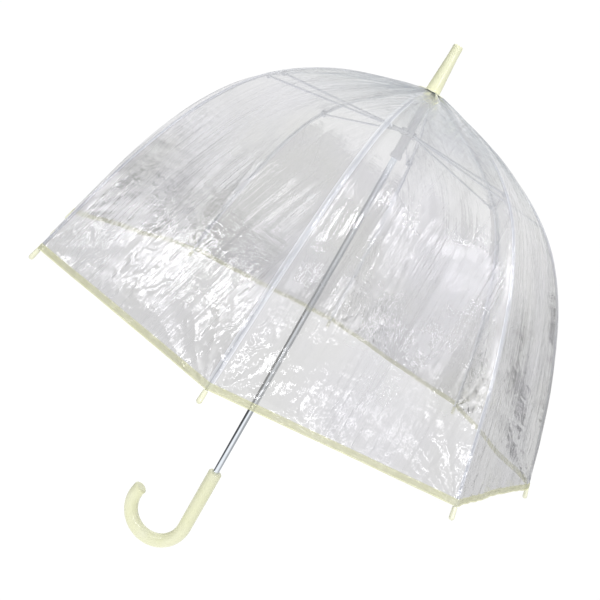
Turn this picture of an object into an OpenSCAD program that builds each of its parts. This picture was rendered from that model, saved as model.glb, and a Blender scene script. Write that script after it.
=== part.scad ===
// Clear dome umbrella, open: one shaft with a hook handle, eight ribs in two sections,
// eight stretchers on a sliding runner, and a film canopy cut into strips that go with the ribs.
// Millimetres, +Z up. The shaft is on Z, the top face of the handle is at z = 0 and the hook points to -X.

/* [Canopy] */
// height of the rim plane above the top face of the handle
rim_z = 232; // [150:1:300]
// thickness of the clear film
film_t = 0.2; // [0.15:0.05:0.4]
// width of the folded hem binding along the edge
hem_w = 8; // [5:0.5:14]
// thickness of the hem binding
hem_t = 0.9; // [0.6:0.1:2]

/* [Ribs] */
// diameter of the rib wire
rib_d = 3.2; // [2:0.1:4]
// diameter of the stretcher wire
stretcher_d = 2.8; // [2:0.1:3]
// diameter of a rib tip
tip_d = 6.5; // [5:0.1:9]
// length of a rib tip beyond the hem
tip_len = 16; // [10:0.5:24]

/* [Shaft] */
// outer diameter of the shaft tube
shaft_d = 10; // [8:0.1:10]
// wall of the shaft tube
shaft_wall = 0.7; // [0.4:0.1:1.5]

/* [Handle] */
// diameter of the grip
handle_d = 22; // [16:0.5:28]
// length of the straight part of the grip
grip_len = 104; // [70:1:120]
// radius of the hook's centreline
hook_r = 47; // [35:1:60]
// how far the hook turns, in degrees
hook_sweep = 199; // [180:1:230]

/* [Ferrule] */
// height of the ferrule above the canopy
ferrule_h = 73; // [50:1:90]
// diameter at the ferrule's foot
ferrule_base_d = 21.8; // [16:0.2:26]
// diameter at the ferrule's end
ferrule_tip_d = 15; // [12:0.2:18]

/* [Runner] */
// height of the stretcher wire above the rim plane with the canopy open
runner_h = 350; // [345:1:352]
// running clearance between runner and shaft, on the radius
run_gap = 0.06; // [0.03:0.01:0.1]

/* [Hidden] */
$fn = 64;
e = 0.01;
gap = 0.3;
shaft_r = shaft_d / 2;
rib_r = rib_d / 2;
st_r = stretcher_d / 2;
// the canopy's edge line along a rib: arc lengths and slopes below level at seven knots
knot_s = [0, 120, 230, 300, 380, 500, 610];
knot_a = [13.66, 19.65, 35.49, 51.55, 62.64, 70.77, 72.7];
start = [12, rim_z + 414.8];
function rho(i) = (knot_s[i + 1] - knot_s[i]) * 180 / (PI * (knot_a[i + 1] - knot_a[i]));
// knot i's place as [radius, height]
function knot(i) = i == 0 ? start
    : knot(i - 1) + rho(i - 1) * [sin(knot_a[i]) - sin(knot_a[i - 1]), cos(knot_a[i]) - cos(knot_a[i - 1])];
// centre of arc i
function centre(i) = knot(i) - rho(i) * [sin(knot_a[i]), cos(knot_a[i])];
// a point on arc i, f of the way along, d outside the film's inner face
function on_arc(i, f, d) = centre(i) + (rho(i) + d)
    * [sin(knot_a[i] + f * (knot_a[i + 1] - knot_a[i])), cos(knot_a[i] + f * (knot_a[i + 1] - knot_a[i]))];
steps = 4;
// the line of arcs a to b, d outside the film's inner face; a lower strip starts just past the rib joint
function line_of(a, b, d) = [for (i = [a : b]) for (j = [(i == a ? 0 : 1) : steps])
    on_arc(i, a == 2 && i == 2 && j == 0 ? gap / (knot_s[3] - knot_s[2]) : j / steps, d)];
function back(v) = [for (i = [len(v) - 1 : -1 : 0]) v[i]];
rib_in = 2.1;            // wire centre below the film's inner face
pin_in = 4.2;            // rib joint below the film's inner face
wire_gap = 4;            // each wire stops this far from the rib joint
N = [9.5, rim_z + 410.6];                    // rib pivot on the notch wire
Q = [9.5, rim_z + runner_h];                 // stretcher pivot on the runner wire
P = knot(2) - pin_in * [sin(knot_a[2]), cos(knot_a[2])];   // joint between rib sections
st_a = atan2(P[1] - Q[1], P[0] - Q[0]);      // stretcher's rise when open
st_len = norm(P - Q);
st_y = 4.4;              // stretcher wire beside the rib
step = 45;               // angle from rib to rib
rim_a = knot_a[6];
apex_z = rim_z + 414.8;

// places children in the upright plane of rib k, with X outward and Y sideways
module at_rib(k) rotate([0, 0, step * (k - 1)]) children();

// rod of radius r between two points of the rib plane at sideways place y
module rod(a, b, r, y = 0) {
    d = b - a;
    translate([a[0], y, a[1]]) rotate([0, 90 - atan2(d[1], d[0]), 0]) cylinder(h = norm(d), r = r);
}

// disc with its axis sideways at point p, from y0 to y1
module disc(p, r, y0, y1) translate([p[0], y1, p[1]]) rotate([90, 0, 0]) cylinder(h = y1 - y0, r = r);

// one curved length of rib wire following arc i from fraction f0 to f1
module wire_arc(i, f0 = 0, f1 = 1) {
    a0 = knot_a[i] + f0 * (knot_a[i + 1] - knot_a[i]);
    a1 = knot_a[i] + f1 * (knot_a[i + 1] - knot_a[i]);
    translate([centre(i)[0], 0, centre(i)[1]]) rotate([90, 0, 0]) rotate([0, 0, 90 - a1])
        rotate_extrude(angle = a1 - a0) translate([rho(i) - rib_in, 0]) circle(r = rib_r);
}

// small knuckle between two lengths of wire at knot i
module core(i) translate([on_arc(i - 1, 1, -rib_in)[0], 0, on_arc(i - 1, 1, -rib_in)[1]]) sphere(r = rib_r + 0.06);
trim = 0.0012;           // part of an arc left out at a knuckle

// inner rib: eye on the notch wire, two curved lengths, and the plate and rivet of the rib joint
module rib_inner_shape() {
    f = 1 - wire_gap / (knot_s[2] - knot_s[1]);
    difference() {
        union() {
            disc(N, 2.8, -1.4, 1.4);
            wire_arc(0, 0, 1 - trim);
            wire_arc(1, trim, f);
            core(1);
        }
        disc(N, 0.8, -3, 3);
    }
    disc(P, 3.2, -1.8, -0.15);
    rod(P + 1.2 * [-cos(knot_a[2]), sin(knot_a[2])], on_arc(1, f, -rib_in), 0.7, -0.95);
    disc(P, 1.1, -2.3, 2.5);
    disc(P, 2, -2.3, -1.8 + e);
    disc(P, 2, 2.05, 2.6);
}

// outer rib: plate with the rivet's hole, four curved lengths, and a straight end for the tip
module rib_outer_shape() {
    f = wire_gap / (knot_s[3] - knot_s[2]);
    difference() {
        union() {
            disc(P, 3.2, 0.15, 1.75);
            rod(P + 1.2 * [cos(knot_a[2]), -sin(knot_a[2])], on_arc(2, f, -rib_in), 0.7, 0.95);
        }
        disc(P, 1.15, -3, 3);
    }
    wire_arc(2, f, 1 - trim);
    for (i = [3 : 5]) {
        wire_arc(i, trim, 1 - trim);
        core(i);
    }
    core(6);
    rod(on_arc(5, 1, -rib_in),
        on_arc(5, 1, -rib_in) + 12 * [cos(rim_a), -sin(rim_a)], rib_r);
}

// moulded tip on the end of a rib, just past the hem, with a blind hole for the wire
module tip_shape() {
    p = on_arc(5, 1, -rib_in) + 0.8 * [cos(rim_a), -sin(rim_a)];
    r = tip_d / 2;
    translate([p[0], 0, p[1]]) rotate([0, 90 + rim_a, 0]) difference() {
        union() {
            cylinder(h = tip_len - 0.8 - r, r1 = r - 0.5, r2 = r);
            translate([0, 0, tip_len - 0.8 - r]) sphere(r = r);
        }
        translate([0, 0, -1]) cylinder(h = 12.2, r = rib_r);
    }
}

// stretcher: eye on the runner wire, a jog to the side, and a riveted end beside the rib joint
module stretcher_shape() translate([Q[0], 0, Q[1]]) rotate([0, -st_a, 0]) {
    difference() {
        union() {
            translate([0, 1.3, 0]) rotate([90, 0, 0]) cylinder(h = 2.6, r = 2.4);
            rotate([0, 90, 0]) cylinder(h = 6, r = st_r);
        }
        translate([0, 3, 0]) rotate([90, 0, 0]) cylinder(h = 6, r = 0.8);
    }
    translate([6, 0, 0]) {
        sphere(r = st_r + 0.15);
        rotate([0, 90, atan2(st_y, 14)]) cylinder(h = norm([14, st_y]), r = st_r);
    }
    translate([20, st_y, 0]) {
        sphere(r = st_r + 0.15);
        rotate([0, 90, 0]) cylinder(h = st_len - 20, r = st_r);
    }
    translate([st_len, 5.6, 0]) rotate([90, 0, 0]) cylinder(h = 2.4, r = 2.4);
    translate([st_len, 6.3, 0]) rotate([90, 0, 0]) cylinder(h = 1, r = 1.6);
}

// the side of a panel seen along its own straight lines, from arc a to arc b, between offsets d0 and d1
module panel_side(a, b, d0, d1) scale([cos(step / 2), 1])
    polygon(concat(line_of(a, b, d1), back(line_of(a, b, d0))));

// half a panel of film: straight across from the rib's seam to the middle of the panel
module half_panel(a, b, side) intersection() {
    rotate([0, 0, side * step / 2]) rotate([90, 0, 0]) linear_extrude(height = 360, center = true)
        panel_side(a, b, 0, film_t);
    wedge(side);
}

// the upright wedge from a rib's plane to just short of the middle of the panel
module wedge(side) {
    s = gap / 2 / sin(step / 2);
    translate([0, 0, rim_z - 20]) linear_extrude(height = 500)
        polygon([[s, 0], [500, 0], [500, side * (500 - s) * tan(step / 2)]]);
}

// crown strip of film over the inner rib
module canopy_upper_shape() {
    for (side = [-1, 1]) half_panel(0, 1, side);
}

// skirt strip of film over the outer rib, with the hem binding folded over its edge
module canopy_lower_shape() {
    for (side = [-1, 1]) {
        half_panel(2, 5, side);
        hem_half(side);
    }
}

// the hem binding's half between a rib and the middle of the panel
module hem_half(side) {
    p = on_arc(5, 1, 0);
    t = [cos(rim_a), -sin(rim_a)];
    n = [sin(rim_a), cos(rim_a)];
    o = (hem_t - film_t) / 2;
    intersection() {
        rotate([0, 0, side * step / 2]) rotate([90, 0, 0]) linear_extrude(height = 360, center = true)
            scale([cos(step / 2), 1])
            polygon([p - hem_w * t, p, p + (film_t + 2 * o) * n, p - hem_w * t + (film_t + 2 * o) * n]);
        wedge(side);
    }
}

module shaft() color("Silver") difference() {
    translate([0, 0, -60]) cylinder(h = 60 + rim_z + 455, r = shaft_r);
    translate([0, 0, -61]) cylinder(h = 62 + rim_z + 455, r = shaft_r - shaft_wall);
    // windows for the two catch springs
    for (z = [rim_z + 280, rim_z - 96]) rotate([0, 0, 2.5 * step])
        translate([0, -1.6, z]) cube([shaft_r + 1, 3.2, 30]);
}

// spring steel catch: a leaf inside the tube with a wedge nose through the window
module catch_shape(z) rotate([0, 0, 2.5 * step]) translate([0, 0, z]) rotate([90, 0, 0])
    translate([0, 0, -1.3]) linear_extrude(height = 2.6)
        polygon([[2.6, 1], [3.2, 1], [shaft_r + 0.1, 5], [shaft_r + 2.3, 26], [shaft_r + 2.3, 29],
                 [3.2, 29], [3.2, 28], [shaft_r - 0.6, 26], [2.6, 5]]);
module top_catch() color("LightSteelBlue") catch_shape(rim_z + 280);
module bottom_catch() color("LightSteelBlue") catch_shape(rim_z - 96);

// hook handle with a blind socket for the shaft
module handle() color([0.93, 0.94, 0.78]) difference() {
    r = handle_d / 2;
    union() {
        translate([0, 0, -grip_len + 0.1]) cylinder(h = grip_len - 3.1, r = r);
        translate([0, 0, -3]) rounded_end(r);
        translate([0, 0, -grip_len - 0.6]) cylinder(h = 1.2, r = r + 0.06);
        translate([-hook_r, 0, -grip_len]) rotate([90, 0, 0]) rotate([0, 0, -hook_sweep])
            rotate_extrude(angle = hook_sweep - 0.15) translate([hook_r, 0]) circle(r = r);
        translate([-hook_r, 0, -grip_len]) rotate([0, hook_sweep, 0]) translate([hook_r, 0, 0])
            rotate([180, 0, 0]) {
                translate([0, 0, -0.6]) cylinder(h = 1.2, r = r + 0.06);
                translate([0, 0, 0.6]) cylinder(h = 1, r1 = r + 0.06, r2 = r - 0.6);
                translate([0, 0, 1.6]) cylinder(h = 1.2, r1 = r - 0.6, r2 = r - 2.4);
            }
    }
    translate([0, 0, -60]) cylinder(h = 61, r = shaft_r);
}

// flat end with a rounded edge, 3 mm tall above z = 0
module rounded_end(r) {
    cylinder(h = 3, r = r - 3);
    rotate_extrude() translate([r - 3, 0]) intersection() {
        circle(r = 3);
        square([3, 3]);
    }
}

// tapered tube on the end of the shaft, with a straight end and a rounded edge
module ferrule() color([0.93, 0.94, 0.78]) difference() {
    b = ferrule_base_d / 2;
    t = ferrule_tip_d / 2;
    z = apex_z + 1.6;
    h = rim_z + 414.8 + ferrule_h - z;
    translate([0, 0, z]) union() {
        cylinder(h = h - 15, r1 = b, r2 = t);
        translate([0, 0, h - 15]) cylinder(h = 12.5, r = t);
        translate([0, 0, h - 2.5]) cylinder(h = 2.5, r = t - 2.5);
        translate([0, 0, h - 2.5]) rotate_extrude() translate([t - 2.5, 0]) intersection() {
            circle(r = 2.5);
            square([2.5, 2.5]);
        }
    }
    translate([0, 0, z - 1]) cylinder(h = rim_z + 455 - z + 1, r = shaft_r);
}

// thin eight-petal washer between the ferrule and the film
module rosette() color([0.95, 0.95, 0.84]) intersection() {
    translate([0, 0, apex_z]) rotate_extrude()
        polygon([[shaft_r, 0.65], [12, 0.65], [25, -2.5], [25, -1.6], [12, 1.6], [shaft_r, 1.6]]);
    translate([0, 0, apex_z - 10]) linear_extrude(height = 20) union() {
        circle(r = 13);
        for (k = [0 : 7]) rotate(k * step) translate([17, 0]) circle(r = 6);
    }
}

module top_notch() color([0.93, 0.94, 0.93]) difference() {
    union() {
        translate([0, 0, rim_z + 405.5]) cylinder(h = 8.4, r = 13);
        translate([0, 0, rim_z + 400]) cylinder(h = 6, r = 6.6);
    }
    translate([0, 0, rim_z + 399]) cylinder(h = 20, r = shaft_r);
    for (k = [1 : 8]) at_rib(k) translate([6.5, -1.9, rim_z + 404]) cube([8, 3.8, 12]);
    translate([0, 0, N[1]]) rotate_extrude() translate([N[0], 0]) circle(r = 0.65);
}

module notch_wire() color("DimGray")
    translate([0, 0, N[1]]) rotate_extrude() translate([N[0], 0]) circle(r = 0.6);

// runner: long sleeve with a slotted crown for the stretchers and a guard tube above it
module runner() color([0.93, 0.94, 0.93]) difference() {
    union() {
        translate([0, 0, Q[1] - 39]) cylinder(h = 7, r = 8.6);
        translate([0, 0, Q[1] - 39]) cylinder(h = 39, r = 7.4);
        translate([0, 0, Q[1] - 4.5]) cylinder(h = 9, r = 13);
        translate([0, 0, Q[1]]) cylinder(h = 48, r = 6.3);
    }
    translate([0, 0, Q[1] - 40]) cylinder(h = 90, r = shaft_r + run_gap);
    for (k = [1 : 8]) at_rib(k) translate([6.9, -1.7, Q[1] - 5]) cube([8, 3.4, 10]);
    translate([0, 0, Q[1]]) rotate_extrude() translate([Q[0], 0]) circle(r = 0.65);
}

module runner_wire() color("DimGray")
    translate([0, 0, Q[1]]) rotate_extrude() translate([Q[0], 0]) circle(r = 0.6);

module rib_1_inner() color("Gainsboro") at_rib(1) rib_inner_shape();
module rib_2_inner() color("Gainsboro") at_rib(2) rib_inner_shape();
module rib_3_inner() color("Gainsboro") at_rib(3) rib_inner_shape();
module rib_4_inner() color("Gainsboro") at_rib(4) rib_inner_shape();
module rib_5_inner() color("Gainsboro") at_rib(5) rib_inner_shape();
module rib_6_inner() color("Gainsboro") at_rib(6) rib_inner_shape();
module rib_7_inner() color("Gainsboro") at_rib(7) rib_inner_shape();
module rib_8_inner() color("Gainsboro") at_rib(8) rib_inner_shape();
module rib_1_outer() color("Silver") at_rib(1) rib_outer_shape();
module rib_2_outer() color("Silver") at_rib(2) rib_outer_shape();
module rib_3_outer() color("Silver") at_rib(3) rib_outer_shape();
module rib_4_outer() color("Silver") at_rib(4) rib_outer_shape();
module rib_5_outer() color("Silver") at_rib(5) rib_outer_shape();
module rib_6_outer() color("Silver") at_rib(6) rib_outer_shape();
module rib_7_outer() color("Silver") at_rib(7) rib_outer_shape();
module rib_8_outer() color("Silver") at_rib(8) rib_outer_shape();
module tip_1() color([0.95, 0.95, 0.8]) at_rib(1) tip_shape();
module tip_2() color([0.95, 0.95, 0.8]) at_rib(2) tip_shape();
module tip_3() color([0.95, 0.95, 0.8]) at_rib(3) tip_shape();
module tip_4() color([0.95, 0.95, 0.8]) at_rib(4) tip_shape();
module tip_5() color([0.95, 0.95, 0.8]) at_rib(5) tip_shape();
module tip_6() color([0.95, 0.95, 0.8]) at_rib(6) tip_shape();
module tip_7() color([0.95, 0.95, 0.8]) at_rib(7) tip_shape();
module tip_8() color([0.95, 0.95, 0.8]) at_rib(8) tip_shape();
module stretcher_1() color("LightGray") at_rib(1) stretcher_shape();
module stretcher_2() color("LightGray") at_rib(2) stretcher_shape();
module stretcher_3() color("LightGray") at_rib(3) stretcher_shape();
module stretcher_4() color("LightGray") at_rib(4) stretcher_shape();
module stretcher_5() color("LightGray") at_rib(5) stretcher_shape();
module stretcher_6() color("LightGray") at_rib(6) stretcher_shape();
module stretcher_7() color("LightGray") at_rib(7) stretcher_shape();
module stretcher_8() color("LightGray") at_rib(8) stretcher_shape();
module canopy_1_upper() color([0.86, 0.87, 0.85, 0.5]) at_rib(1) canopy_upper_shape();
module canopy_2_upper() color([0.86, 0.87, 0.85, 0.5]) at_rib(2) canopy_upper_shape();
module canopy_3_upper() color([0.86, 0.87, 0.85, 0.5]) at_rib(3) canopy_upper_shape();
module canopy_4_upper() color([0.86, 0.87, 0.85, 0.5]) at_rib(4) canopy_upper_shape();
module canopy_5_upper() color([0.86, 0.87, 0.85, 0.5]) at_rib(5) canopy_upper_shape();
module canopy_6_upper() color([0.86, 0.87, 0.85, 0.5]) at_rib(6) canopy_upper_shape();
module canopy_7_upper() color([0.86, 0.87, 0.85, 0.5]) at_rib(7) canopy_upper_shape();
module canopy_8_upper() color([0.86, 0.87, 0.85, 0.5]) at_rib(8) canopy_upper_shape();
module canopy_1_lower() color([0.86, 0.87, 0.85, 0.5]) at_rib(1) canopy_lower_shape();
module canopy_2_lower() color([0.86, 0.87, 0.85, 0.5]) at_rib(2) canopy_lower_shape();
module canopy_3_lower() color([0.86, 0.87, 0.85, 0.5]) at_rib(3) canopy_lower_shape();
module canopy_4_lower() color([0.86, 0.87, 0.85, 0.5]) at_rib(4) canopy_lower_shape();
module canopy_5_lower() color([0.86, 0.87, 0.85, 0.5]) at_rib(5) canopy_lower_shape();
module canopy_6_lower() color([0.86, 0.87, 0.85, 0.5]) at_rib(6) canopy_lower_shape();
module canopy_7_lower() color([0.86, 0.87, 0.85, 0.5]) at_rib(7) canopy_lower_shape();
module canopy_8_lower() color([0.86, 0.87, 0.85, 0.5]) at_rib(8) canopy_lower_shape();

shaft();
handle();
ferrule();
rosette();
top_notch();
notch_wire();
top_catch();
bottom_catch();
runner();
runner_wire();
rib_1_inner();
rib_2_inner();
rib_3_inner();
rib_4_inner();
rib_5_inner();
rib_6_inner();
rib_7_inner();
rib_8_inner();
rib_1_outer();
rib_2_outer();
rib_3_outer();
rib_4_outer();
rib_5_outer();
rib_6_outer();
rib_7_outer();
rib_8_outer();
tip_1();
tip_2();
tip_3();
tip_4();
tip_5();
tip_6();
tip_7();
tip_8();
stretcher_1();
stretcher_2();
stretcher_3();
stretcher_4();
stretcher_5();
stretcher_6();
stretcher_7();
stretcher_8();
canopy_1_upper();
canopy_2_upper();
canopy_3_upper();
canopy_4_upper();
canopy_5_upper();
canopy_6_upper();
canopy_7_upper();
canopy_8_upper();
canopy_1_lower();
canopy_2_lower();
canopy_3_lower();
canopy_4_lower();
canopy_5_lower();
canopy_6_lower();
canopy_7_lower();
canopy_8_lower();
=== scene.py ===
import math
import random

import bpy
import numpy as np
from mathutils import Matrix, Vector


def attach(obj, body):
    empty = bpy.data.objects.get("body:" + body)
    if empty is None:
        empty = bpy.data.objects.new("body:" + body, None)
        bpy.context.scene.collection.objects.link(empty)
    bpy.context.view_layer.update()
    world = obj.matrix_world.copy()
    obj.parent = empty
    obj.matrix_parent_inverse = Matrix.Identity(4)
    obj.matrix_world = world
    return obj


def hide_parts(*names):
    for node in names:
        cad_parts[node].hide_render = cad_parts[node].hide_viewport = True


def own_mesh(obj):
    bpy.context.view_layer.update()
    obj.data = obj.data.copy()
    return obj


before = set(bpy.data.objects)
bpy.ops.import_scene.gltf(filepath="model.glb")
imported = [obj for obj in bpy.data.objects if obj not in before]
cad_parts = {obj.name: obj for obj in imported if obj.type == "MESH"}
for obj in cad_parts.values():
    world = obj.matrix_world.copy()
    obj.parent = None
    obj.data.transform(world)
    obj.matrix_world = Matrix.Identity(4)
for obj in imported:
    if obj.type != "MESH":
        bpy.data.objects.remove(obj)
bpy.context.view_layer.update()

# ---------------------------------------------------------------- sizes, as in part.scad
RIM_Z = 0.232  # height of the rib tips, m
STEP = math.radians(45)  # from one rib to the next
ARC = 610  # a rib's length along the film, mm
KNEE = 230  # where its two parts meet, mm
HINGE_R = 12.0  # radius where the film starts at the crown, mm
HINGE_RISE = 414.8  # and its height over the rib tips, mm
KNOT_S = [0, 120, KNEE, 300, 380, 500, ARC]  # arc length, mm
KNOT_A = [13.66, 19.65, 35.49, 51.55, 62.64, 70.77, 72.7]  # slope there, degrees
FILM_T = 0.0002  # the film's thickness, m
FILM_END = 609  # the film's edge, inside the binding, mm

# ---------------------------------------------------------------- looks
FILM_HAZE = 0.29  # the milky layer's share where the film is clearest, below the crown
SEAM = 0.0040  # half the width of a welded seam, m
SEAM_INNER = 0.0030  # where its brighter edge starts, m
GRAIN = 0.00001  # depth of the skin of moulded plastic, m
STITCH = 0.0022  # spacing of the weld marks on the binding, m
STITCH_ROW = 0.6042  # arc length of their row, m
LIGHT_COLOUR = (0.97, 0.96, 1)

# Grey flags beside the white set. Each pair is a place from left (0) to right (1) and a brightness.
ACROSS = (0.990, 0.140, 0)
FLAGS = [(0.0, 0.02), (0.14, 0.04), (0.24, 0.90), (0.5, 1.0), (0.76, 0.82), (0.88, 0.36)]
FLAGS_ABOVE = [(0.66, 0.95), (0.84, 0.34)]


def knots():
    """The knots of a rib's curve, as radius and height in mm: arcs that run into each other."""
    p = [np.array([HINGE_R, RIM_Z * 1000 + HINGE_RISE])]
    for i in range(len(KNOT_S) - 1):
        a, b = math.radians(KNOT_A[i]), math.radians(KNOT_A[i + 1])
        rho = (KNOT_S[i + 1] - KNOT_S[i]) / (b - a)
        p.append(p[-1] + rho * np.array([math.sin(b) - math.sin(a), math.cos(b) - math.cos(a)]))
    return p


KNOT = knots()


def profile(s):
    """Radius and height (m) and slope (radians) of the film on a rib, at arc length s in mm."""
    s = np.asarray(s, float)
    i = np.clip(np.searchsorted(KNOT_S, s, side="right") - 1, 0, len(KNOT_S) - 2)
    s0, s1 = np.take(KNOT_S, i), np.take(KNOT_S, i + 1)
    a0, a1 = np.radians(np.take(KNOT_A, i)), np.radians(np.take(KNOT_A, i + 1))
    rho = (s1 - s0) / (a1 - a0)
    a = a0 + (s - s0) / rho
    base = np.array(KNOT)[i]
    r = base[..., 0] + rho * (np.sin(a) - np.sin(a0))
    z = base[..., 1] + rho * (np.cos(a) - np.cos(a0))
    return r / 1000, z / 1000, a


def put(name, data):
    """A new object in the scene."""
    o = bpy.data.objects.new(name, data)
    bpy.context.scene.collection.objects.link(o)
    return o


# ---------------------------------------------------------------- camera
def set_camera():
    """The photo's camera, as it was fitted to the umbrella's shape in the photo."""
    el, roll, az = math.radians(8.626), math.radians(-29.542), math.radians(-8.027)
    m = Matrix(((1, 0, 0), (0, math.sin(el), math.cos(el)), (0, -math.cos(el), math.sin(el))))
    turn = Matrix.Rotation(roll, 3, "Z") @ m @ Matrix.Rotation(az, 3, "Z")
    back = turn.transposed()
    rim_radius = 0.4
    t = Vector((-0.03358, -0.16138, -2.9163)) * rim_radius
    cam = bpy.data.cameras.new("camera")
    cam.sensor_width = 36
    cam.lens = 46.95
    cam.shift_x = 0.003
    cam.clip_start = 0.01
    o = put("camera", cam)
    o.matrix_world = Matrix.Translation(back @ -t + Vector((0, 0, RIM_Z))) @ back.to_4x4()
    bpy.context.scene.camera = o
    return o


camera = set_camera()
AXES = ((1, 0, 0), (0, 1, 0), (0, 0, -1))
right, up, away = (camera.matrix_world.to_3x3() @ Vector(v) for v in AXES)


# ---------------------------------------------------------------- materials
class Tree:
    """A node tree built from nothing, for a material or for the world."""

    def __init__(self, owner, out="OutputMaterial"):
        owner.use_nodes = True
        self.owner = owner
        self.nt = owner.node_tree
        self.nt.nodes.clear()
        self.out = self.add(out)

    def add(self, kind, **values):
        n = self.nt.nodes.new("ShaderNode" + kind)
        for key, value in values.items():
            setattr(n, key, value)
        return n

    def feed(self, node, inputs):
        """Links or sets a node's inputs, by name or number."""
        for key, value in inputs.items():
            if isinstance(value, bpy.types.NodeSocket):
                self.nt.links.new(value, node.inputs[key])
            else:
                node.inputs[key].default_value = value
        return node

    def noise(self, vector, scale=1, detail=4, rough=0.5, stretch=None, twist=0, kind="FBM"):
        if stretch:
            m = self.feed(self.add("Mapping"), {"Scale": stretch, "Vector": vector})
            vector = m.outputs[0]
        n = self.add("TexNoise", noise_type=kind)
        self.feed(n, {"Scale": scale, "Detail": detail, "Roughness": rough})
        self.feed(n, {"Distortion": twist, "Vector": vector})
        return n.outputs["Fac"]

    def ramp(self, fac, stops):
        """A colour ramp. Each stop is a place and a grey or a colour."""
        r = self.feed(self.add("ValToRGB"), {0: fac})
        e = r.color_ramp.elements
        while len(e) < len(stops):
            e.new(0.5)
        for el, (pos, col) in zip(e, stops):
            el.position = pos
            el.color = (*col, 1) if isinstance(col, tuple) else (col, col, col, 1)
        return r.outputs[0]

    def spread(self, value, low, high, start=0.0, end=1.0, smooth=False):
        """Maps low to high onto start to end, and holds the ends."""
        n = self.add("MapRange", interpolation_type="SMOOTHSTEP" if smooth else "LINEAR")
        self.feed(n, {"Value": value, "From Min": low, "From Max": high})
        self.feed(n, {"To Min": start, "To Max": end})
        return n.outputs[0]

    def math(self, op, a, b=None, c=None, clamp=False):
        n = self.add("Math", operation=op, use_clamp=clamp)
        self.feed(n, {i: v for i, v in enumerate((a, b, c)) if v is not None})
        return n.outputs[0]

    def times(self, a, b):
        return self.math("MULTIPLY", a, b)

    def line(self, a, slope, start, clamp=False):
        """a * slope + start"""
        return self.math("MULTIPLY_ADD", a, slope, start, clamp)

    def bump(self, height, distance, strength=1.0, normal=None):
        b = self.feed(self.add("Bump"), {"Distance": distance, "Strength": strength})
        self.feed(b, {"Height": height})
        if normal:
            self.feed(b, {"Normal": normal})
        return b.outputs[0]

    def blend(self, fac, a, b):
        """A mix of two colours."""
        return self.feed(self.add("Mix", data_type="RGBA"), {0: fac, 6: a, 7: b}).outputs[2]

    def mix(self, fac, a, b):
        """A mix of two shaders."""
        return self.feed(self.add("MixShader"), {0: fac, 1: a, 2: b}).outputs[0]

    def shader(self, kind, **inputs):
        """A shader's output. An input's name has _ for each space."""
        named = {key.replace("_", " "): value for key, value in inputs.items()}
        return self.feed(self.add(kind), named).outputs[0]

    def done(self, shader):
        self.feed(self.out, {0: shader})
        return self.owner


def material(name):
    return Tree(bpy.data.materials.new(name))


def moulded(name, dark, light, rough, coat=0.3):
    """Moulded plastic: slight colour drift, uneven gloss and a fine skin."""
    t = material(name)
    where = t.add("TexCoord").outputs["Object"]
    drift = t.noise(where, scale=28, detail=5, rough=0.6)
    fine = t.noise(where, scale=900, detail=3, rough=0.6)
    scuff = t.noise(where, scale=160, detail=6, rough=0.7)
    return t.done(t.shader(
        "BsdfPrincipled",
        Base_Color=t.ramp(drift, [(0.3, dark), (0.7, light)]),
        Roughness=t.spread(scuff, 0.3, 0.7, *rough),
        Coat_Weight=coat,
        Coat_Roughness=0.08,
        IOR=1.49,
        Normal=t.bump(fine, GRAIN)))


def steel(name, dark, light, rough, stretch=(1, 1, 1), scale=600, depth=0.00003, metal=1.0):
    """Bright drawn steel with fine lines and a few dull marks."""
    t = material(name)
    where = t.add("TexCoord").outputs["Object"]
    lines = t.noise(where, scale=scale, detail=4, rough=0.6, stretch=stretch)
    marks = t.noise(where, scale=45, detail=6, rough=0.65)
    return t.done(t.shader(
        "BsdfPrincipled",
        Base_Color=t.ramp(marks, [(0.3, dark), (0.65, light)]),
        Metallic=metal,
        Roughness=t.spread(lines, 0.3, 0.7, *rough),
        Normal=t.bump(lines, depth)))


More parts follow.
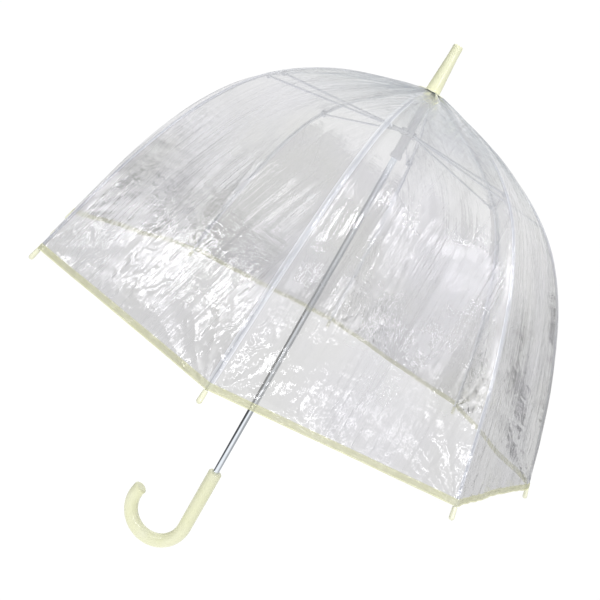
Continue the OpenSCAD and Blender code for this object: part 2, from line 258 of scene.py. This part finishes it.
def film_material():
    """Clear film: faintly milky, creased along its length, crushed near the hem, welded on ribs."""
    t = material("film")
    rest = t.add("Attribute", attribute_name="rest").outputs["Vector"]
    cloth = t.add("Attribute", attribute_name="cloth").outputs["Vector"]
    u, v, _ = t.feed(t.add("SeparateXYZ"), {0: t.add("UVMap", uv_map="film").outputs[0]}).outputs

    # where: uneven patches, low toward the binding and high at the crown (v is the arc length, m)
    haze = t.noise(rest, scale=9, detail=5, rough=0.6)
    patch = t.noise(cloth, detail=3, stretch=(9, 7, 1))
    streaky = t.ramp(patch, [(0.44, 0.12), (0.6, 1.0)])
    crossed = t.ramp(t.noise(cloth, detail=3, stretch=(7, 13, 1)), [(0.45, 0.0), (0.6, 1.0)])
    low = t.spread(v, 0.42, 0.58, smooth=True)
    high = t.spread(v, 0.30, 0.05, smooth=True)

    # what: pleats and streaks from crown to hem, creases across them, crushed film and thin lines
    pleat = t.noise(cloth, detail=2, stretch=(62, 2.6, 1))
    streak = t.noise(cloth, detail=5, rough=0.62, stretch=(170, 6, 1))
    cross = t.noise(cloth, detail=4, rough=0.6, stretch=(24, 95, 1))
    crush = t.noise(cloth, detail=3, stretch=(66, 50, 1), twist=0.8, kind="RIDGED_MULTIFRACTAL")
    thin = t.noise(cloth, detail=3, rough=0.6, stretch=(520, 20, 1))
    creases = t.bump(pleat, 0.0028)
    streaks = t.times(streak, t.math("ADD", streaky, t.times(high, 2.0)))
    creases = t.bump(streaks, 0.0018, 1.0, creases)
    creases = t.bump(t.times(cross, crossed), 0.0008, 1.0, creases)
    creases = t.bump(t.times(crush, t.line(low, 0.85, 0.04)), 0.0017, 1.0, creases)
    creases = t.bump(thin, 0.0003, 0.8, creases)

    # the milky layer, whiter where the film is doubled on a rib
    across = t.math("ABSOLUTE", u)
    seam = t.math("LESS_THAN", across, SEAM)
    drift = t.ramp(patch, [(0.35, (0.58, 0.582, 0.56)), (0.65, (0.61, 0.605, 0.66))])
    milk = t.shader(
        "BsdfPrincipled",
        Base_Color=t.blend(seam, drift, (0.80, 0.82, 0.88, 1)),
        IOR=1.55,
        Specular_IOR_Level=0.9,
        Roughness=t.spread(haze, 0, 1, 0.06, 0.18),
        Normal=creases)

    # the clear layer: painted shade in dark lines along the creases, and the film darker toward the
    # binding
    painted_crease_shade = t.ramp(streak, [(0.30, 1.0), (0.42, 0.0)])
    painted_crease_shade = t.times(painted_crease_shade, t.math("ADD", streaky, t.times(high, 1.6)))
    painted_crease_shade = t.times(t.line(painted_crease_shade, -0.17, 0.87, clamp=True), t.line(low, -0.11, 1.0))
    # bluer and darker toward the crown
    crown_tint = (-0.54, -0.48, -0.43)
    tone = t.feed(t.add("CombineColor"),
                  {i: t.times(painted_crease_shade, t.line(high, amount, 1.0)) for i, amount in enumerate(crown_tint)})
    clear = t.shader("BsdfTransparent", Color=tone.outputs[0])

    # how much of each: more milk by the seams, most on their edges
    fac = t.math("SUBTRACT", t.line(haze, 0.16, FILM_HAZE), t.times(high, 0.12))
    near = t.spread(across, 0.016, 0.003, smooth=True)
    edge = t.times(t.math("GREATER_THAN", across, SEAM_INNER), seam)
    extra = t.line(edge, 0.26, t.line(near, 0.05, t.times(seam, 0.06)))
    below_crown = t.math("SUBTRACT", 1.0, t.times(high, 0.8))
    body = t.mix(t.line(extra, below_crown, fac, clamp=True), clear, milk)

    # the film's own gloss, over the clear part as well
    gloss = t.shader("BsdfAnisotropic", Color=(1, 1, 1, 1), Roughness=0.08, Normal=creases)
    skin = t.shader("Fresnel", IOR=1.45, Normal=creases)
    return t.done(t.mix(t.math("MULTIPLY", skin, 1.3, clamp=True), body, gloss))


def hem_material():
    """Soft pale see-through binding with a row of weld marks and slight wrinkles."""
    t = material("hem")
    u, v, _ = t.feed(t.add("SeparateXYZ"), {0: t.add("UVMap", uv_map="film").outputs[0]}).outputs
    rest = t.add("Attribute", attribute_name="rest").outputs["Vector"]
    drift = t.noise(rest, scale=40, detail=5, rough=0.6)
    colour = t.ramp(drift, [(0.3, (0.93, 0.935, 0.68)), (0.7, (0.97, 0.97, 0.84))])
    dots = t.math("SINE", t.times(u, 2 * math.pi / STITCH))
    row = t.math("LESS_THAN", t.math("ABSOLUTE", t.math("SUBTRACT", v, STITCH_ROW)), 0.0006)
    pucker = t.noise(rest, scale=210, detail=4, rough=0.6)
    marks = t.bump(t.times(dots, row), 0.0002, 0.8)
    front = t.shader(
        "BsdfPrincipled",
        Base_Color=colour,
        Roughness=0.32,
        Coat_Weight=0.35,
        Normal=t.bump(pucker, 0.0005, 0.6, marks))
    # light from behind comes through it as well
    through = t.shader("BsdfTranslucent", Color=colour)
    clear = t.shader("BsdfTransparent", Color=(0.99, 0.99, 0.85, 1))
    return t.done(t.mix(t.line(drift, 0.3, 0.22), clear, t.mix(0.35, front, through)))


GRIP = moulded("grip", (0.93, 0.94, 0.62), (0.97, 0.975, 0.72), rough=(0.16, 0.26), coat=0.5)
TIPS = moulded("tips", (0.94, 0.945, 0.68), (0.97, 0.975, 0.78), rough=(0.2, 0.34))
WHITE = moulded("white", (0.93, 0.93, 0.97), (0.97, 0.97, 1.0), rough=(0.16, 0.3), coat=0.6)
TUBE = steel("tube", (0.78, 0.83, 0.89), (0.88, 0.92, 0.97), rough=(0.03, 0.08),
             stretch=(1, 1, 0.05), depth=0.000005)
RIB = steel("rib", (0.80, 0.83, 0.88), (0.92, 0.94, 0.98), rough=(0.14, 0.3), scale=400, metal=0.45)
SPRING = steel("spring", (0.30, 0.31, 0.33), (0.46, 0.47, 0.50), rough=(0.22, 0.4), scale=500)
FILM = film_material()
HEM = hem_material()



def look(name):
    """The material of a node of the frame."""
    if name in ("handle", "ferrule"):
        return GRIP
    if name in ("top_notch", "runner"):
        return WHITE
    if name == "shaft":
        return TUBE
    if name.startswith(("tip_", "rosette")):
        return TIPS
    return RIB if name.startswith(("rib_", "stretcher_")) else SPRING


for name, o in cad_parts.items():
    o.data.materials.clear()
    o.data.materials.append(look(name))


# ---------------------------------------------------------------- film
def draw_panel(j):
    """The folds and waves of panel j's film, from its own seed."""
    q = random.Random(100 + j)
    crown_tint = []
    for _ in range(9):
        # a soft straight fold: where it crosses, how it leans, its width, height and stretch along
        crown_tint.append((q.uniform(0.08, 0.92), q.uniform(-0.25, 0.25), q.uniform(0.0025, 0.007),
                      q.uniform(0.0004, 0.0013) * q.choice((-1, 1)),
                      q.uniform(120, 560), q.uniform(50, 150)))
    waves = []
    for _ in range(4):
        # a broad wave: turns across and along the panel, start and height
        waves.append((q.uniform(1, 3.2), q.uniform(1.0, 3.5), q.uniform(0, 6.28),
                      q.uniform(0.0004, 0.0011)))
    return crown_tint, waves, [q.uniform(0, 6.28) for _ in range(8)]


PANEL = [draw_panel(j) for j in range(8)]


def lift(j, t, s):
    """How far panel j's film stands out (m), at t across it (0 to 1) and arc length s (mm)."""
    crown_tint, waves, start = PANEL[j % 8]
    r, _, _ = profile(s)
    wide = 2 * r * math.sin(STEP / 2)
    x = t * wide
    h = np.zeros_like(t)
    for a, b, begin, amp in waves:
        h = h + amp * np.sin(a * math.pi * t * 2 + begin + b * s / ARC * math.pi)
    for c, lean, w, amp, mid, long in crown_tint:
        at = (c + lean * (s - mid) / ARC) * wide
        h = h + amp * np.exp(-np.abs((x - at) / w) ** 1.3) * np.exp(-(((s - mid) / long) ** 2))
    # creases that fan out from each rib's tip
    dy = (ARC + 2 - s) / 1000
    for side, dx in enumerate((x, wide - x)):
        rho = np.hypot(dx, dy)
        ang = np.arctan2(dy, dx)
        fan = np.abs(np.sin(ang * 7 + start[side] + 0.6 * np.sin(rho * 30 + start[2 + side])))
        h = h + 0.0016 * (0.5 - fan) * np.exp(-rho / 0.11) * np.clip(rho / 0.02, 0, 1)
    # puckers along the binding
    pucker = np.sin(x * 210 + start[4] + 1.5 * np.sin(x * 37 + start[5]))
    pucker = pucker * (0.6 + 0.4 * np.sin(x * 61 + start[6]))
    h = h + 0.0008 * pucker * np.exp(-(ARC - s) / 1000 / 0.028)
    sag = -0.0022 * np.sin(math.pi * t) * np.clip(s / 200, 0, 1)
    # nothing stands out on the ribs themselves
    fade = np.clip(np.minimum(t, 1 - t) * wide / 0.010, 0, 1)
    return (h + sag) * fade * fade * (3 - 2 * fade)


def place(j, t, s, off=0.0):
    """A point of panel j, raised off the film's middle by off."""
    r, z, a = profile(s)
    start = STEP * (j - 1)
    e1 = np.array([math.cos(start), math.sin(start)])
    e2 = np.array([math.cos(start + STEP), math.sin(start + STEP)])
    out = (e1 + e2) / np.linalg.norm(e1 + e2)
    xy = ((1 - t)[..., None] * e1 + t[..., None] * e2) * r[..., None]
    nr, nz = np.sin(a), math.cos(STEP / 2) * np.cos(a)
    q = np.hypot(nr, nz)
    d = lift(j, t, s) + FILM_T / 2 + off
    xy = xy + out * (nr / q * d)[..., None]
    return np.concatenate([xy, (z + nz / q * d)[..., None]], -1)


def turned(j, t, s):
    """Outward normals of panel j's film, from points a little to each side."""
    dt, ds = 1e-3, 0.4
    du = place(j, np.clip(t + dt, 0, 1), s) - place(j, np.clip(t - dt, 0, 1), s)
    dv = place(j, t, np.clip(s + ds, 0, ARC)) - place(j, t, np.clip(s - ds, 0, ARC))
    n = np.cross(dv, du)
    return n / np.linalg.norm(n, axis=-1, keepdims=True)


def sheet_mesh(name, verts, uvs, faces):
    """A smooth mesh with its unrolled place in the map "film" and its place at rest in "rest"."""
    me = bpy.data.meshes.new(name)
    me.from_pydata(verts, [], faces)
    me.update()
    me.shade_smooth()
    layer = me.uv_layers.new(name="film")
    idx = np.zeros(len(me.loops), int)
    me.loops.foreach_get("vertex_index", idx)
    layer.data.foreach_set("uv", np.array(uvs)[idx].ravel())
    keep_points(me, "rest", verts)
    return me


def keep_points(me, name, points):
    at = me.attributes.new(name, "FLOAT_VECTOR", "POINT")
    at.data.foreach_set("vector", np.array(points, float).ravel())


def grid(faces, base, rows, cols, flip):
    """Quads of a grid of vertices that starts at base."""
    for i in range(rows - 1):
        for c in range(cols - 1):
            a = base + i * cols + c
            q = (a, a + cols, a + cols + 1, a + 1)
            faces.append(q[::-1] if flip else q)


def strip(name, k, s0, s1, rows, cols):
    """The film over rib k from arc length s0 to s1, out to mid-panel on both sides, and its area."""
    verts, normals, uvs, cloth, faces = [], [], [], [], []
    area = 0
    s = np.linspace(s0, s1, rows)
    w = np.linspace(0, 1, cols) ** 0.92
    S, W = np.meshgrid(s, w, indexing="ij")
    r = profile(S)[0]
    wide = 2 * r * math.sin(STEP / 2)
    half = profile(s)[0] * math.sin(STEP / 2)
    for side in (1, -1):
        j = k if side == 1 else k - 1
        T = W / 2 if side == 1 else 1 - W / 2
        grid(faces, len(verts), rows, cols, side == -1)
        verts += place(j, T, S).reshape(-1, 3).tolist()
        normals += turned(j, T, S).reshape(-1, 3).tolist()
        U = side * W * r * math.sin(STEP / 2)
        uvs += np.stack([U.ravel(), S.ravel() / 1000], -1).tolist()
        # measured from the panel's own start, so that creases run on over a cut
        own = np.full(S.size, 3.7 * (j % 8))
        cloth += np.stack([(T * wide).ravel(), S.ravel() / 1000, own], -1).tolist()
        area += float(((half[1:] + half[:-1]) / 2).sum() * (s1 - s0) / (rows - 1) / 1000)
    me = sheet_mesh(name, verts, uvs, faces)
    keep_points(me, "cloth", cloth)
    me.normals_split_custom_set_from_vertices(normals)
    return put(name, me), area


# the folded binding's outline: arc length in mm and offset from the film in m
HEM_OUTLINE = [
    (602.0, 0.0005), (602.6, 0.00068), (606, 0.0007), (609.4, 0.00066), (610.1, 0.0004), (610.3, 0.0),
    (610.1, -0.0003), (609.4, -0.00045), (606, -0.00045), (602.6, -0.00043), (602.0, -0.00025)]
HEM_COLS = 64


def hem(name, k):
    """The binding folded over the film's edge on both sides of rib k."""
    verts, uvs, faces = [], [], []
    slope = math.radians(KNOT_A[-1])
    w = np.linspace(0, 1, HEM_COLS)
    for side in (1, -1):
        j = k if side == 1 else k - 1
        mid = STEP * (j - 0.5)
        flat = math.cos(slope)
        down = np.array([flat * math.cos(mid), flat * math.sin(mid), -math.sin(slope)])
        base = len(verts)
        for s, off in HEM_OUTLINE:
            S = np.full_like(w, min(s, ARC))
            P = place(j, w / 2 if side == 1 else 1 - w / 2, S, off)
            P = P + max(s - ARC, 0) / 1000 * down
            verts += P.tolist()
            U = side * w * profile(S)[0] * math.sin(STEP / 2)
            uvs += np.stack([U, np.full_like(w, s / 1000)], -1).tolist()
        rings = len(HEM_OUTLINE)
        for a in range(rings):
            b = (a + 1) % rings
            for c in range(HEM_COLS - 1):
                one, two = base + a * HEM_COLS + c, base + b * HEM_COLS + c
                q = (one, two, two + 1, one + 1)
                faces.append(q if side == 1 else q[::-1])
    return put(name, sheet_mesh(name, verts, uvs, faces))


def show(o, mat, body):
    o.data.materials.append(mat)
    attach(o, body)


for k in range(1, 9):
    upper, area_u = strip(f"film_{k}_upper", k, 0, KNEE, 54, 26)
    lower, area_l = strip(f"film_{k}_lower", k, KNEE, FILM_END, 100, 44)
    edge = hem(f"hem_{k}", k)
    show(upper, FILM, f"rib_{k}_inner_part")
    show(lower, FILM, f"rib_{k}_outer_part")
    show(edge, HEM, f"rib_{k}_outer_part")
    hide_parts(f"canopy_{k}_upper")
    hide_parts(f"canopy_{k}_lower")
    for o in (upper, lower, edge):
        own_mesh(o)


# ---------------------------------------------------------------- stage, light and world
def side_of(t, coordinates):
    """How far to the right a place or a direction is."""
    dot = t.feed(t.add("VectorMath", operation="DOT_PRODUCT"), {0: coordinates, 1: ACROSS})
    return dot.outputs["Value"]


def stage():
    """White to the camera; in reflections it carries the flags, as if they stood beside a table."""
    half, z = 2.6, -0.62
    me = bpy.data.meshes.new("floor")
    me.from_pydata([(-half, -half, z), (half, -half, z), (half, half, z), (-half, half, z)], [],
                   [(0, 1, 2, 3)])
    o = put("floor", me)
    t = material("floor")
    direct = t.add("LightPath").outputs["Is Camera Ray"]
    side = side_of(t, t.add("TexCoord").outputs["Object"])
    glow = t.math("MAXIMUM", t.ramp(t.line(side, 0.24, 0.5), FLAGS), t.times(direct, 1.01))
    me.materials.append(t.done(t.shader(
        "BsdfPrincipled",
        Base_Color=(0.05, 0.05, 0.05, 1),
        Roughness=1.0,
        Emission_Color=(1, 1, 1, 1),
        Emission_Strength=glow)))


stage()


def area_light(name, where, target, size, power):
    d = bpy.data.lights.new(name, "AREA")
    d.shape = "RECTANGLE"
    d.size, d.size_y = size
    d.energy = power
    d.color = LIGHT_COLOUR
    where, target = Vector(where), Vector(target)
    aim = (target - where).to_track_quat("-Z", "Y").to_matrix().to_4x4()
    put(name, d).matrix_world = Matrix.Translation(where) @ aim


centre = Vector((0, 0, RIM_Z + 0.15))


def seen(x, y, z):
    """A place to the camera's right, up and towards it, in m from the canopy's middle."""
    return centre + right * x + up * y - away * z


area_light("key", seen(-0.9, 1.9, 1.5), centre, (0.6, 0.6), 4)
area_light("fill", seen(1.9, 0.4, 1.7), centre, (0.9, 1.1), 2)

# small lights that the film mirrors: a point of the canopy, the way there, the size (m) and power (W)
GLINT_FAR = 1.7
GLINTS = [
    ((-0.193, -0.297, 0.303), (-0.89, -0.37, 0.25), (0.20, 0.20), 1.8),
    ((-0.11, -0.321, 0.332), (-0.85, -0.42, 0.31), (0.14, 0.16), 1.1),
    ((0.139, -0.246, 0.473), (0.53, -0.29, 0.79), (0.40, 0.20), 4.4),
    ((0.017, -0.313, 0.442), (0.47, -0.50, 0.73), (0.20, 0.22), 2.4),
    ((0.057, -0.332, 0.365), (0.57, -0.64, 0.51), (0.18, 0.24), 1.5),
    ((0.091, -0.359, 0.242), (0.64, -0.73, 0.25), (0.22, 0.12), 1.2),
    ((0.217, -0.306, 0.246), (0.74, -0.62, 0.24), (0.16, 0.14), 1.2)]
for point, way, size, power in GLINTS:
    point = Vector(point)
    area_light("glint", point + Vector(way).normalized() * GLINT_FAR, point, size, power)


def set_world():
    """White to the camera. It lights with the flags near the horizon and with others above them."""
    world = bpy.data.worlds.new("world")
    bpy.context.scene.world = world
    t = Tree(world, "OutputWorld")
    way = t.add("TexCoord").outputs["Generated"]
    side = t.spread(side_of(t, way), -1, 1)
    flags = t.ramp(side, [(at, (grey, grey, grey * 1.01)) for at, grey in FLAGS])
    height = t.math("ABSOLUTE", t.feed(t.add("SeparateXYZ"), {0: way}).outputs[2])
    sky = t.blend(t.spread(height, 0.34, 0.50), flags, t.ramp(side, FLAGS_ABOVE))
    lit = t.shader("Background", Color=sky, Strength=1.0)
    shown = t.shader("Background", Color=(1, 1, 1, 1), Strength=1.02)
    t.done(t.mix(t.add("LightPath").outputs["Is Camera Ray"], lit, shown))


set_world()
bpy.context.scene.view_settings.view_transform = "Standard"
bpy.context.scene.view_settings.look = "None"
